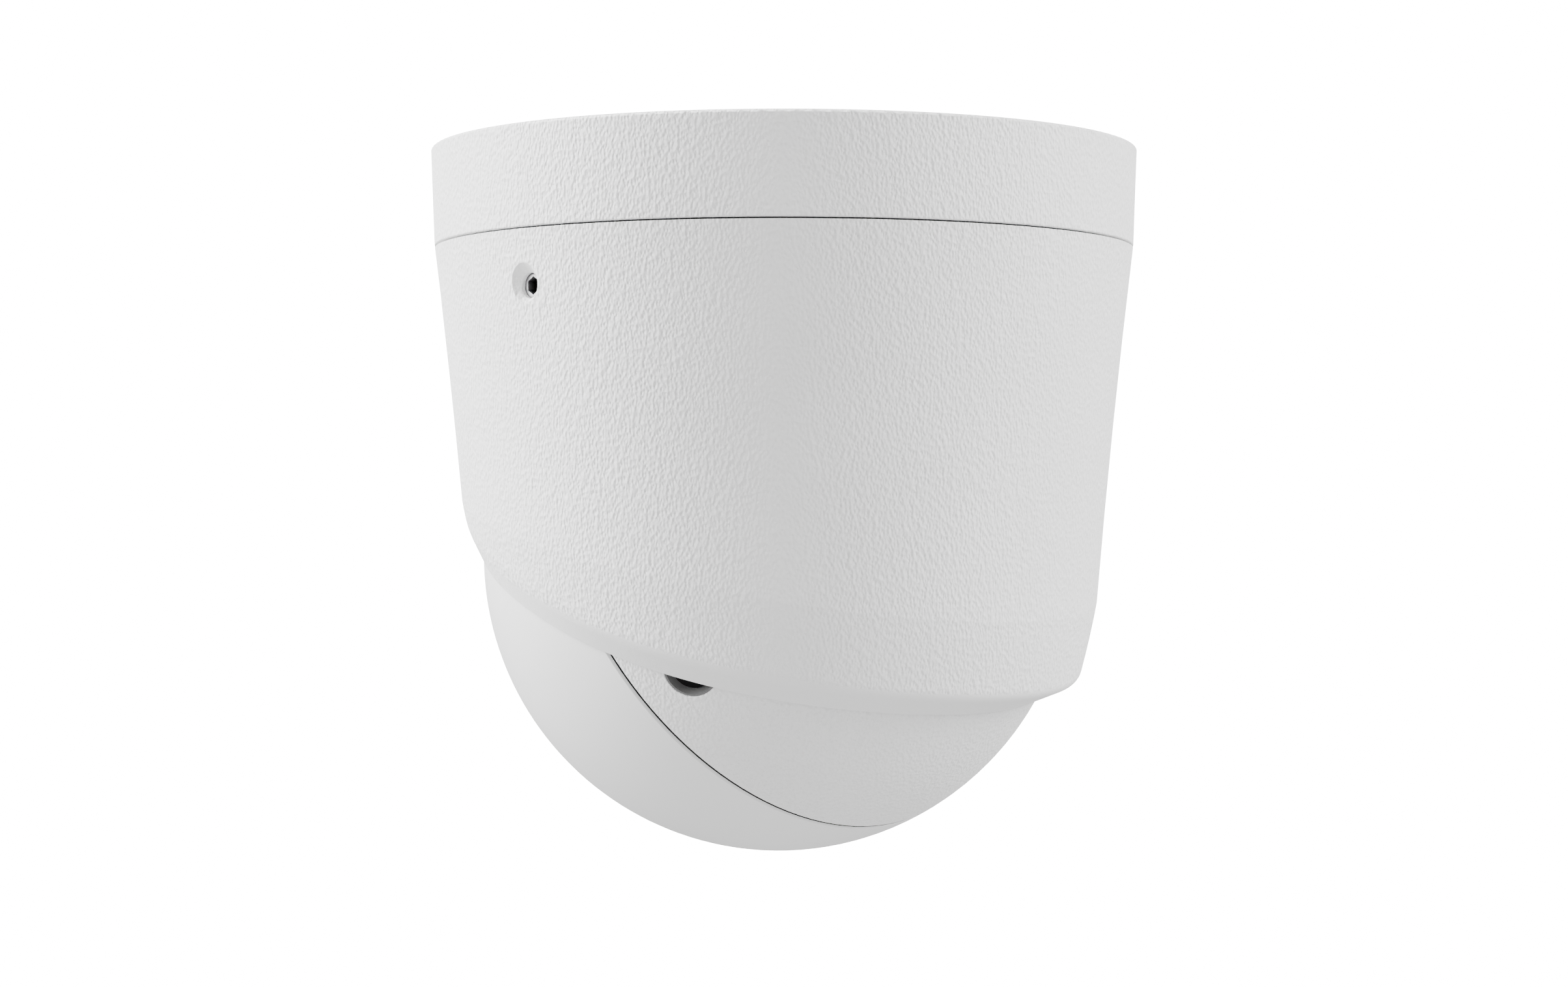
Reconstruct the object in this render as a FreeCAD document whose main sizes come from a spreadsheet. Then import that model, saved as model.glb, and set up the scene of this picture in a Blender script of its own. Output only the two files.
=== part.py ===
"""Ceiling camera of the ball-and-socket kind: ring base, turning cover, tilting yoke and turning ball.

Frame: millimetres, origin at the centre of the ceiling face, +Z up, the lens looks towards -Y and down.
The ball's own pieces are drawn in a lens frame, with +Z along the lens axis and the origin at the
ball's centre, and are then placed by ball_place().
"""
import FreeCAD, Part
import functools
import math
import os
import re
import Sketcher

V = FreeCAD.Vector
doc = FreeCAD.newDocument("ceiling_camera")

# ---------------------------------------------------------------- driving dimensions
SIZES = {
    # base ring
    "base_top_radius": 58.1, "base_foot_radius": 57.5, "base_foot_z": -16.02, "plate": 3.0,
    "base_wall": 2.5, "spigot_radius": 52.0, "spigot_wall": 5.0, "spigot_end_z": -29.0,
    "base_edge": 0.5, "foot_edge": 0.25, "groove_depth": 1.5, "groove_half": 1.7,
    "gasket_outer": 55.5, "gasket_inner": 50.5, "gasket_depth": 1.0,
    "fixing_circle": 42.0, "fixing_radius": 2.5,
    "cable_y": 22.0, "grommet_radius": 7.0, "grommet_flange": 9.0, "cable_radius": 3.5,
    "clamp_y": 35.0, "clamp_screw_x": 9.0, "clamp_post_z": -7.0, "clamp_bar": 2.2,
    "stop_circle": 49.3, "stop_radius": 1.2, "stop_end_z": -33.0,
    # cover
    "cover_top_z": -16.3, "cover_radius": 57.45, "neck_radius": 52.05, "neck_end_z": -29.0,
    "cavity_top": 53.6, "cavity_foot": 50.0, "cavity_foot_z": -62.0,
    "sweep_radius": 50.1, "sweep_drop": 4.8, "inside_drop": 1.5, "front_slant": 21.8, "back_slant": 11.3,
    "lip_gap_radius": 48.95,
    "screw_z": -24.9, "screw_bore": 2.0, "screw_sink": 3.1, "screw_sink_depth": 1.3,
    "screw_face": 54.6, "screw_key": 2.5, "screw_wall": 56.55,
    "seal_inner": 54.6, "seal_outer": 56.6, "seal_depth": 0.85, "seal_stand": 0.23,
    "lug_width": 5.0, "lug_reach": 8.0, "lug_height": 3.2,
    # cover's form: the wall tapers with depth, more below the crease, and the mouth is cut on a slant
    "wall_taper": 0.1235, "wall_bulge": 0.00035, "curl_taper": 0.1, "curl_bend": 0.0037,
    "mouth_z": -74.6, "mouth_rise": 0.40, "mouth_arc": 266.0, "lip_drop": 4.1,
    "crease_level": -65.3, "crease_rise": 0.225, "crease_margin": 0.6, "edge_round": 1.3,
    "plug_radius": 20.0, "plug_drop": 10.0,
    # ball and its lens frame
    "ball_radius": 48.6, "ball_y": -1.25, "ball_z": -66.6, "lens_down": 24.6,
    "shell_wall": 2.2, "seam_front": -1.5, "seam_rear": -1.92, "seam_chamfer": 0.55, "tongue": 2.4,
    "front_face": 39.0, "window_radius": 25.0, "window_seat": 36.3, "window_back": 36.7,
    "window_front": 38.7, "seat_radius": 22.5,
    "back_face": -40.0, "spindle_radius": 7.95, "spindle_bore": 5.2, "spindle_end": -48.2,
    "recess_x": 0.826, "recess_y": -0.506, "recess_z": -0.245,
    "recess_mouth": 4.56, "recess_foot": 3.75, "recess_depth": 1.5, "recess_boss": 5.5, "plug_bore": 3.3,
    "bezel_wall": 0.3, "fit_gap": 0.04, "seal_lip_depth": 0.08, "plug_head": 0.3,
    # yoke
    "yoke_inner": 48.9, "yoke_outer": 49.8, "yoke_half": 4.4, "crown_radius": 14.0,
    "crown_floor": 42.0, "crown_step": 45.5, "bush_radius": 9.5, "bush_bore": 8.0,
    "nut_pocket": 12.6, "pin_radius": 2.2, "pin_tip": 50.85, "pin_hole": 2.25, "pin_hole_end": 50.95,
    # inside the ball
    "frame_radius": 42.5, "frame_low": 10.0, "frame_high": 12.0, "long_screw_circle": 24.0,
    "led_board_low": 25.4, "led_board_high": 27.0, "led_post_circle": 19.2, "led_circle": 15.8,
    "board": 1.6, "sensor_board_z": -6.6, "post_place": 14.0, "main_board_z": -18.2,
    "main_board_radius": 34.0, "filter_travel": 9.0, "sensor_board_side": 34.0, "frame_screw_circle": 38.0,
    "lamp_radius": 2.45, "lamp_height": 4.6, "lamp_collar": 2.8,
    "led_board_outer": 21.5, "led_board_inner": 9.6,
    "barrel_radius": 7.6, "barrel_thread": 5.95, "barrel_bore": 4.6, "barrel_foot": 6.0, "barrel_rim": 31.9,
    "lock_ring_radius": 9.2, "fin_thickness": 1.2, "fin_height": 5.2, "fin_pitch": 3.1, "sink_side": 20.0,
    # fits and cutters: play of a fitted piece, overlap of joined shapes, tools larger than the object
    "snug": 0.05, "sliver": 0.1, "overlap": 0.2, "cutter_side": 140.0, "cutter_height": 90.0,
    # places round a circle, in degrees from the X axis
    "fixing_turn": 45.0, "long_screw_turn": 30.0, "post_turn": 90.0, "led_turn": 15.0,
    # cap screws shared by clamp, shells and frame, and their clearance holes
    "cap_head": 2.75, "cap_height": 1.5, "cap_shank": 1.45, "cap_key": 2.0, "small_key": 1.5,
    "cap_sink": 3.2, "cap_sink_depth": 1.6, "screw_way": 1.7, "socket_share": 0.7,
    "long_screw_length": 46.0, "long_thread": 1.5, "boss_radius": 3.5, "boss_start": 1.0, "post_root": 1.0,
    # cord clamp and grommet
    "clamp_post_radius": 3.5, "clamp_thread": 1.5, "clamp_thread_top": -2.2, "clamp_length": 26.0,
    "clamp_width": 7.0, "notch_rise": 2.2, "clamp_head": 1.9, "clamp_reach": 4.2, "clamp_socket": 1.3,
    "grommet_lip": 1.0, "grommet_taper": 0.6, "grommet_step": 2.0, "grommet_tail": 3.6, "grommet_wall": 1.6,
    # pan stop and lock screws
    "stop_hold": 3.0, "lug_back": 2.2, "lug_drop": 0.2, "lug_clear": 1.8,
    "lock_reach": 10.0, "lock_inset": 0.3, "lock_tip": 0.9, "lock_point": 0.7, "lock_socket": 1.6,
    "sink_over": 0.6, "pin_hole_start": 45.0, "pin_inset": 0.15,
    # yoke's crown
    "crown_bore_end": 30.0, "bush_flange": 0.8, "washer_play": 0.15, "washer_radius": 12.0,
    "nut_play": 0.6, "nut_inset": 0.2, "nut_slot_depth": 1.2, "nut_slot_width": 2.4,
    "nut_slot_length": 40.0, "cable_seal_inset": 1.0,
    # ball shells
    "back_wall": 3.0, "groove_outer": 0.7, "groove_inner": 1.7, "seal_groove_depth": 0.8,
    "seal_lip_root": 1.2, "boss_depth": 6.0, "boss_top": 1.2, "mouth_over": 0.5, "mouth_reach": 0.8,
    "bore_depth": 8.0, "plug_brim": 1.1, "plug_flange": 1.0,
    "tongue_inset": 2.8, "tongue_wall": 4.8, "thick_start": 6.0, "thick_end": 3.5,
    "seat_step": 1.8, "seat_back": 2.3, "window_play": 0.2, "face_edge": 0.9, "gasket_inset": 0.3,
    "pane_bevel": 0.4,
    # inner frame and lamp board
    "frame_bore": 14.0, "frame_boss_height": 12.0, "frame_thread": 1.3, "thread_depth": 7.0,
    "frame_head": 2.0, "frame_shank": 1.2, "frame_screw_length": 8.0,
    "lamp_post_radius": 2.2, "lamp_thread": 1.05, "lamp_thread_depth": 6.0, "lamp_hole": 1.1,
    "lamp_head": 1.9, "lamp_head_height": 1.4, "lamp_shank": 1.0, "lamp_screw_length": 5.8,
    "lamp_socket_floor": 0.6, "collar_height": 1.0,
    "cell_radius": 1.1, "cell_height": 1.6, "cell_dome": 1.0, "cell_place": 11.8,
    "sensor_post_radius": 2.4, "sensor_thread": 1.15, "sensor_thread_top": 2.0, "sensor_thread_depth": 9.0,
    # optics
    "shroud_inner": 8.2, "shroud_outer": 9.4, "shroud_mouth": 10.4, "shroud_mouth_inner": 9.2,
    "shroud_flare": 2.0, "barrel_neck": 17.0, "barrel_shoulder": 18.5, "barrel_bevel": 0.7,
    "barrel_wall": 1.4, "barrel_step": 28.2, "glass_rim": 30.2, "glass_bend_radius": 3.2,
    "glass_bend": 31.1, "glass_top": 31.3, "rear_glass": 2.2, "rear_glass_z": 6.6,
    "lock_ring_low": 14.2, "lock_ring_high": 16.4, "knurl_radius": 0.5,
    "holder_length": 30.0, "holder_width": 16.0, "holder_height": 9.0, "tube_radius": 8.5,
    "tube_height": 10.1, "tube_z": 4.0, "chamber_length": 15.0, "chamber_width": 13.0,
    "chamber_height": 3.8, "light_way": 4.2, "light_way_height": 3.0, "light_way_z": -2.0,
    "holder_bore_z": 2.0, "holder_bore_height": 14.0,
    # cut filter
    "filter_slot_width": 11.6, "filter_slot_height": 2.1, "filter_slot_z": -1.2,
    "coil_length": 9.0, "coil_side": 5.0, "coil_y": 11.0, "coil_z": -4.0,
    "carriage_length": 19.6, "carriage_width": 11.0, "carriage_height": 1.7, "carriage_z": -1.0,
    "filter_opening": 7.8, "filter_opening_width": 8.0, "filter_opening_cut": 3.0,
    "filter_glass": 0.7, "filter_glass_z": -0.5,
    # boards
    "board_hole": 1.25, "sensor_length": 12.0, "sensor_width": 10.0, "sensor_height": 1.1,
    "stud_radius": 1.1, "stud_length": 6.4, "spacer_flats": 4.5, "spacer_thread": 1.05,
    "spacer_thread_height": 6.0, "main_board_bore": 3.0, "board_screw_way": 2.2,
    "board_head": 2.1, "board_head_height": 1.6, "board_shank": 1.0, "board_screw_length": 4.8,
    "chip_side": 14.0, "chip_height": 1.4, "pad_side": 13.0, "pad_height": 1.0, "sink_plate": 1.6,
    "connector_circle": 28.0, "connector_length": 9.0, "connector_width": 5.5, "connector_height": 4.5,
    "connector_mouth_length": 7.4, "connector_mouth_width": 3.8, "connector_mouth_depth": 3.5,
    "capacitor_circle": 29.0, "capacitor_radius": 2.5, "capacitor_height": 6.0,
}
FIXINGS = 4
SCREWS = 3
SMALLEST_CUT = 0.01
EDGE_TOLERANCE = 0.02
SIDES = (("right", "1", "90"), ("left", "-1", "-90"))

sheet = doc.addObject("Spreadsheet::Sheet", "dims")
for row, (alias, value) in enumerate(SIZES.items(), start=1):
    sheet.set(f"A{row}", alias)
    sheet.set(f"B{row}", str(value))
    sheet.setAlias(f"B{row}", alias)
doc.recompute()


def cells(text):
    """An expression with each driving dimension written as its cell in the sheet."""
    return re.sub(r"[a-z_]+", lambda word: "dims." + word.group() if word.group() in SIZES else word.group(),
                  str(text))


@functools.cache
def number(text):
    """The value of an expression in driving dimensions."""
    return float(sheet.evalExpression(cells(text)))


def bind(thing, **expressions):
    """Bind properties of an object to expressions."""
    for name, text in expressions.items():
        thing.setExpression(name, cells(text))


# ---------------------------------------------------------------- sketch and body helpers
def new_body(label):
    body = doc.addObject("PartDesign::Body", label)
    body.Label = label
    return body


def sketch_on(body, role, name, offset="0"):
    """A sketch on one of the body's own origin planes, raised by an offset."""
    sketch = body.newObject("Sketcher::SketchObject", name)
    plane = next(item for item in body.Origin.OriginFeatures if item.Role == role)
    sketch.AttachmentSupport = (plane, [""])
    sketch.MapMode = "FlatFace"
    sketch.setExpression("AttachmentOffset.Base.z", cells(offset))
    return sketch


def datum(sketch, kind, *where, text):
    """A driving dimension of a sketch, bound to the sheet."""
    index = sketch.addConstraint(Sketcher.Constraint(kind, *where, number(text)))
    sketch.setExpression(f"Constraints[{index}]", cells(text))


def outline(sketch, points):
    """A closed outline of straight lines, and of arcs about the origin where a point gives a radius.

    Each point is (x, y), or (radius, y, "arc") where an arc of that radius runs on to the next point.
    """
    count = len(points)
    arcs = [points[k][0] if len(points[k]) == 3 else None for k in range(count)]
    places = []
    for k, point in enumerate(points):
        radius = arcs[k] or arcs[k - 1]
        y = number(point[1])
        x = math.sqrt(number(radius) ** 2 - y ** 2) if radius else number(point[0])
        places.append(V(x, y, 0))
    for k in range(count):
        start, end = places[k], places[(k + 1) % count]
        if arcs[k]:
            low, high = sorted([math.atan2(start.y, start.x), math.atan2(end.y, end.x)])
            circle = Part.Circle(V(0, 0, 0), V(0, 0, 1), number(arcs[k]))
            sketch.addGeometry(Part.ArcOfCircle(circle, low, high))
        else:
            sketch.addGeometry(Part.LineSegment(start, end))
    first = [2 if arcs[k] and places[k].y > places[(k + 1) % count].y else 1 for k in range(count)]
    for k in range(count):
        following = (k + 1) % count
        sketch.addConstraint(Sketcher.Constraint("Coincident", k, 3 - first[k], following, first[following]))
        datum(sketch, "DistanceY", -1, 1, k, first[k], text=points[k][1])
        if arcs[k]:
            sketch.addConstraint(Sketcher.Constraint("Coincident", k, 3, -1, 1))
            datum(sketch, "Radius", k, text=arcs[k])
        elif not arcs[k - 1]:
            datum(sketch, "DistanceX", -1, 1, k, first[k], text=points[k][0])


def circles(sketch, places):
    """Circles given as (x, y, radius)."""
    for x, y, radius in places:
        index = sketch.addGeometry(Part.Circle(V(number(x), number(y), 0), V(0, 0, 1), number(radius)))
        datum(sketch, "DistanceX", -1, 1, index, 3, text=x)
        datum(sketch, "DistanceY", -1, 1, index, 3, text=y)
        datum(sketch, "Radius", index, text=radius)


def ring_of(count, circle, radius, first="0"):
    """Places of equal circles spread round a larger circle, the first at a given turn."""
    turns = [number(first) + 360.0 * k / count for k in range(count)]
    return [(f"({circle}) * {math.cos(math.radians(t)):.6f}", f"({circle}) * {math.sin(math.radians(t)):.6f}",
             radius) for t in turns]


def corners_of(half, radius):
    """Places of four circles at the corners of a square."""
    return [(f"{i} * ({half})", f"{j} * ({half})", radius) for i in (-1, 1) for j in (-1, 1)]


def revolve(body, points):
    """Turn an outline in the XZ plane about the body's Z axis."""
    sketch = sketch_on(body, "XZ_Plane", f"{body.Name}_profile")
    outline(sketch, points)
    turn = body.newObject("PartDesign::Revolution", f"{body.Name}_turn")
    turn.Profile = sketch
    turn.ReferenceAxis = (sketch, ["V_Axis"])
    turn.Angle = 360
    doc.recompute()
    return turn


def holes(body, places, start, depth, name):
    """Round pockets that start at height `start` and go down by `depth`."""
    sketch = sketch_on(body, "XY_Plane", f"{body.Name}_{name}_circles", start)
    circles(sketch, places)
    pocket = body.newObject("PartDesign::Pocket", f"{body.Name}_{name}")
    pocket.Profile = sketch
    bind(pocket, Length=depth)
    before = body.Shape.Volume
    doc.recompute()
    if body.Shape.Volume > before - SMALLEST_CUT:
        raise RuntimeError(f"{body.Label}: the pocket {name} cuts nothing")


def posts(body, places, start, height, name):
    """Round posts that start at height `start` and go up by `height`."""
    sketch = sketch_on(body, "XY_Plane", f"{body.Name}_{name}_circles", start)
    circles(sketch, places)
    pad = body.newObject("PartDesign::Pad", f"{body.Name}_{name}")
    pad.Profile = sketch
    bind(pad, Length=height)
    doc.recompute()


def round_edges(body, radius, edge_radius, height, name):
    """Round the body's circular edge of a given radius and height."""
    tip = body.Tip
    wanted = []
    for index, edge in enumerate(tip.Shape.Edges, start=1):
        round_edge = isinstance(edge.Curve, Part.Circle)
        if round_edge and abs(edge.Curve.Radius - number(edge_radius)) < EDGE_TOLERANCE \
                and abs(edge.Curve.Center.z - number(height)) < EDGE_TOLERANCE:
            wanted.append(f"Edge{index}")
    fillet = body.newObject("PartDesign::Fillet", f"{body.Name}_{name}")
    fillet.Base = (tip, wanted)
    bind(fillet, Radius=radius)
    body.Tip = fillet
    doc.recompute()


# ---------------------------------------------------------------- primitive and boolean helpers
def place(thing, x="0", y="0", z="0", axis=V(0, 0, 1), angle="0"):
    thing.Placement = FreeCAD.Placement(V(0, 0, 0), FreeCAD.Rotation(axis, number(angle)))
    for letter, text in (("x", x), ("y", y), ("z", z)):
        thing.setExpression(f"Placement.Base.{letter}", cells(text))
    if number(angle):
        thing.setExpression("Placement.Rotation.Angle", cells(angle))
    return thing


def cylinder(name, radius, height, **where):
    thing = doc.addObject("Part::Cylinder", name)
    bind(thing, Radius=radius, Height=height)
    return place(thing, **where)


def cone(name, low, high, height, **where):
    thing = doc.addObject("Part::Cone", name)
    bind(thing, Radius1=low, Radius2=high, Height=height)
    return place(thing, **where)


def box(name, length, width, height, x="0", y="0", z="0"):
    """A box centred on x and y, standing on z."""
    thing = doc.addObject("Part::Box", name)
    bind(thing, Length=length, Width=width, Height=height)
    return place(thing, x=f"({x}) - ({length}) / 2", y=f"({y}) - ({width}) / 2", z=z)


def sphere(name, radius, **where):
    thing = doc.addObject("Part::Sphere", name)
    bind(thing, Radius=radius)
    return place(thing, **where)


def hexagon(name, flats, height, **where):
    thing = doc.addObject("Part::Prism", name)
    thing.Polygon = 6
    bind(thing, Circumradius=f"({flats}) / sqrt(3)", Height=height)
    return place(thing, **where)


def cut(name, base, tool):
    thing = doc.addObject("Part::Cut", name)
    thing.Base = base
    thing.Tool = tool
    return thing


def common(name, base, tool):
    thing = doc.addObject("Part::Common", name)
    thing.Base = base
    thing.Tool = tool
    return thing


def ring(name, inner, outer, low, high):
    """A flat ring between two heights."""
    low_text = f"({low})"
    height = f"({high}) - {low_text}"
    return cut(f"{name}_ring", cylinder(f"{name}_disc", outer, height, z=low),
               cylinder(f"{name}_hole", inner, height, z=low))


def fuse(name, *shapes):
    thing = doc.addObject("Part::MultiFuse", name)
    thing.Shapes = list(shapes)
    return thing


def group(name, *shapes):
    """Separate solids kept together as one piece."""
    thing = doc.addObject("Part::Compound", name)
    thing.Links = list(shapes)
    return thing


subparts = {}


def keep(thing, name):
    """Register an object as a sub-part under its file's name."""
    thing.Label = name
    subparts[name] = thing
    return thing


def keep_in_ball(thing, name):
    """Register a sub-part drawn in the lens frame and put it in its place in the ball."""
    if thing.TypeId in ("Part::Box", "Part::Cylinder"):
        thing = group(f"{name}_held", thing)
    thing.Placement = FreeCAD.Placement(V(0, 0, 0), FreeCAD.Rotation(V(1, 0, 0), number("lens_down + 90")))
    thing.setExpression("Placement.Base.y", cells("ball_y"))
    thing.setExpression("Placement.Base.z", cells("ball_z"))
    thing.setExpression("Placement.Rotation.Angle", cells("lens_down + 90"))
    return keep(thing, name)


# ---------------------------------------------------------------- base
def mounting_base():
    """Shallow cup under the ceiling, with the spigot that the cover turns on."""
    body = new_body("mounting_base")
    revolve(body, [
        ("0", "0"),
        ("gasket_inner", "0"),
        ("gasket_inner", "-gasket_depth"),
        ("gasket_outer", "-gasket_depth"),
        ("gasket_outer", "0"),
        ("base_top_radius", "0"),
        ("base_foot_radius", "base_foot_z"),
        ("base_foot_radius - base_wall", "base_foot_z"),
        ("base_foot_radius - base_wall", "-plate"),
        ("spigot_radius", "-plate"),
        ("spigot_radius", "screw_z + groove_half"),
        ("spigot_radius - groove_depth", "screw_z"),
        ("spigot_radius", "screw_z - groove_half"),
        ("spigot_radius", "spigot_end_z"),
        ("spigot_radius - spigot_wall", "spigot_end_z"),
        ("spigot_radius - spigot_wall", "-plate"),
        ("0", "-plate"),
    ])
    posts(body, [("clamp_screw_x", "clamp_y", "clamp_post_radius"),
                 ("-clamp_screw_x", "clamp_y", "clamp_post_radius")],
          "clamp_post_z", "-clamp_post_z - plate / 2", "clamp_posts")
    fixings = ring_of(FIXINGS, "fixing_circle", "fixing_radius", "fixing_turn")
    holes(body, fixings, "0", "plate", "fixing_holes")
    holes(body, [("0", "cable_y", "grommet_radius")], "0", "plate", "cable_hole")
    holes(body, [("0", "cable_y", "grommet_flange + sliver")], "0", "grommet_lip", "grommet_recess")
    holes(body, [("clamp_screw_x", "clamp_y", "clamp_thread"),
                 ("-clamp_screw_x", "clamp_y", "clamp_thread")],
          "clamp_thread_top", "-clamp_post_z", "clamp_threads")
    holes(body, [("0", "stop_circle", "stop_radius")], "spigot_end_z + stop_hold", "stop_hold + 1",
          "stop_hole")
    round_edges(body, "base_edge", "base_top_radius", "0", "rim_round")
    round_edges(body, "foot_edge", "base_foot_radius", "base_foot_z", "foot_round")
    return keep(body, "mounting_base")


def base_fittings():
    """Ceiling gasket, cable grommet, cord clamp with its screws, and the pan stop pin."""
    keep(ring("gasket", "gasket_inner + snug", "gasket_outer - snug", "-gasket_depth", "0"), "ceiling_gasket")

    grommet = new_body("cable_grommet")
    revolve(grommet, [
        ("cable_radius", "-sliver"),
        ("grommet_flange", "-sliver"),
        ("grommet_flange", "-grommet_lip"),
        ("grommet_radius - snug", "-grommet_lip"),
        ("grommet_radius - snug", "-plate - snug"),
        ("grommet_flange", "-plate - snug"),
        ("grommet_flange - grommet_taper", "-plate - grommet_step"),
        ("cable_radius + grommet_wall", "-plate - grommet_tail"),
        ("cable_radius", "-plate - grommet_tail"),
    ])
    place(grommet, y="cable_y")
    keep(grommet, "cable_grommet")

    bar = box("clamp_bar_block", "clamp_length", "clamp_width", "clamp_bar", y="clamp_y",
              z="clamp_post_z - clamp_bar")
    notch = cylinder("clamp_notch", "cable_radius", "clamp_width + 2", y="clamp_y + clamp_width / 2 + 1",
                     z="clamp_post_z + notch_rise",
                     axis=V(1, 0, 0), angle="90")
    screw_holes = [cylinder(f"clamp_hole_{side}", "screw_way", "clamp_bar + 2", x=f"{sign} * clamp_screw_x",
                            y="clamp_y",
                            z="clamp_post_z - clamp_bar - 1") for side, sign, _ in SIDES]
    keep(cut("clamp_piece", bar, fuse("clamp_openings", notch, *screw_holes)), "cable_clamp")

    screws = []
    for side, sign, _ in SIDES:
        x = f"{sign} * clamp_screw_x"
        head = cylinder(f"clamp_screw_head_{side}", "cap_head", "clamp_head", x=x, y="clamp_y",
                        z="clamp_post_z - clamp_bar - clamp_head")
        shank = cylinder(f"clamp_screw_shank_{side}", "cap_shank", "clamp_bar + clamp_reach + overlap", x=x,
                         y="clamp_y",
                         z="clamp_post_z - clamp_bar - overlap")
        socket = hexagon(f"clamp_screw_socket_{side}", "cap_key", "clamp_socket", x=x, y="clamp_y",
                         z="clamp_post_z - clamp_bar - clamp_head - sliver")
        whole = fuse(f"clamp_screw_whole_{side}", head, shank)
        screws.append(cut(f"clamp_screw_{side}", whole, socket))
    keep(group("clamp_screw_pair", *screws), "clamp_screws")

    pin = cylinder("stop_pin_rod", "stop_radius", "spigot_end_z + stop_hold - stop_end_z", y="stop_circle",
                   z="stop_end_z")
    keep(pin, "pan_stop_pin")


# ---------------------------------------------------------------- cover
WIRE_POINTS = 72
SKIN_PASSES = 12
LIP_PASSES = 30


def wall_radius(z):
    """Radius of the cover's tapered wall at a height."""
    down = number("cover_top_z") - z
    return number("cover_radius") - number("wall_taper") * down + number("wall_bulge") * down ** 2


def crease_z(forward):
    """Height of the crease, which runs into the rounded edge at the front."""
    margin = number("crease_margin")
    plain = number("crease_level") + number("crease_rise") * forward
    edge = mouth_z(forward) + number("edge_round") + margin
    return (plain + edge + math.sqrt((plain - edge) ** 2 + margin ** 2)) / 2


def mouth_z(forward):
    """Height of the mouth's outer edge, at a distance in front of the pan axis."""
    level, rise, arc = number("mouth_z"), number("mouth_rise"), number("mouth_arc")
    if forward >= 0:
        return level + rise * forward
    slope_angle = math.atan(rise)
    centre_forward = -arc * math.sin(slope_angle)
    centre_z = level + arc * math.cos(slope_angle)
    return centre_z - math.sqrt(arc ** 2 - (forward - centre_forward) ** 2)


def skin_point(turn, z_of):
    """Point of the cover's skin at a turn from the front, where z_of gives the height of a level line."""
    forward = wall_radius(number("ball_z")) * math.cos(turn)
    for _ in range(SKIN_PASSES):
        z = z_of(forward)
        below = max(0.0, crease_z(forward) - z)
        radius = wall_radius(z) - number("curl_taper") * below - number("curl_bend") * below ** 2
        forward = radius * math.cos(turn)
    return V(radius * math.sin(turn), -forward, z)


def inner_edge_point(turn):
    """Point of the lip's inner edge, on the sphere that clears the ball."""
    radius = number("lip_gap_radius")
    centre = V(0, number("ball_y"), number("ball_z"))
    forward = radius * math.cos(turn)
    for _ in range(LIP_PASSES):
        z = mouth_z(forward) - number("lip_drop")
        level = math.sqrt(radius ** 2 - (z - centre.z) ** 2)
        shift = -centre.y * math.cos(turn)
        reach = shift + math.sqrt(level ** 2 - centre.y ** 2 + shift ** 2)
        forward = reach * math.cos(turn)
    return V(reach * math.sin(turn), -forward, z)


def towards(start, end, distance):
    """A point at a distance from start on the way to end."""
    step = end - start
    return start + step * (distance / step.Length)


def closed_wire(point_at):
    """A smooth closed wire through points at equal turns."""
    curve = Part.BSplineCurve()
    turns = [2 * math.pi * k / WIRE_POINTS for k in range(WIRE_POINTS)]
    curve.interpolate([point_at(turn) for turn in turns], PeriodicFlag=True,
                      Parameters=[k / WIRE_POINTS for k in range(WIRE_POINTS + 1)])
    return Part.Wire([curve.toShape()])


def cover_skin():
    """The cover's outer form as one solid: tapered wall, crease, rounded edge, slanted lip and a plug."""
    top_z = number("cover_top_z")
    edge_round = number("edge_round")

    def wall(share):
        return lambda turn: skin_point(turn, lambda forward: top_z + share * (crease_z(forward) - top_z))

    def curl(share):
        def level(forward):
            return crease_z(forward) + share * (mouth_z(forward) + edge_round - crease_z(forward))
        return lambda turn: skin_point(turn, level)

    def edge(turn):
        return skin_point(turn, mouth_z)

    def edge_lower(turn):
        return towards(edge(turn), inner_edge_point(turn), edge_round)

    def edge_middle(turn):
        return curl(1.0)(turn) * 0.25 + edge(turn) * 0.5 + edge_lower(turn) * 0.25

    def plug(turn):
        reach = number("plug_radius")
        return V(reach * math.sin(turn), number("ball_y") - reach * math.cos(turn),
                 number("ball_z") - number("plug_drop"))

    top = closed_wire(wall(0.0))
    crease = closed_wire(wall(1.0))
    upper = closed_wire(curl(1.0))
    lower = closed_wire(edge_lower)
    inner = closed_wire(inner_edge_point)
    floor = closed_wire(plug)
    bands = [
        ([top] + [closed_wire(wall(share)) for share in (0.25, 0.5, 0.75)] + [crease], False),
        ([crease, closed_wire(curl(0.5)), upper], False),
        ([upper, closed_wire(edge_middle), lower], False),
        ([lower, inner], True),
        ([inner, floor], True),
    ]
    faces = [Part.Face(top), Part.Face(floor)]
    for wires, ruled in bands:
        faces += Part.makeLoft(wires, False, ruled).Faces
    shell = Part.makeShell(faces)
    shell.sewShape()
    solid = Part.Solid(shell)
    if solid.Volume < 0:
        solid.reverse()
    return solid


def above_slant(name, slope, drop):
    """Space above a plane that falls towards the back and passes `drop` under the pivot axis."""
    block = box(f"{name}_block", "cutter_side", "cutter_side", "cutter_height", z=f"-({drop})")
    return place(group(name, block), y="ball_y", z="ball_z", axis=V(1, 0, 0), angle=f"-({slope})")


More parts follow.
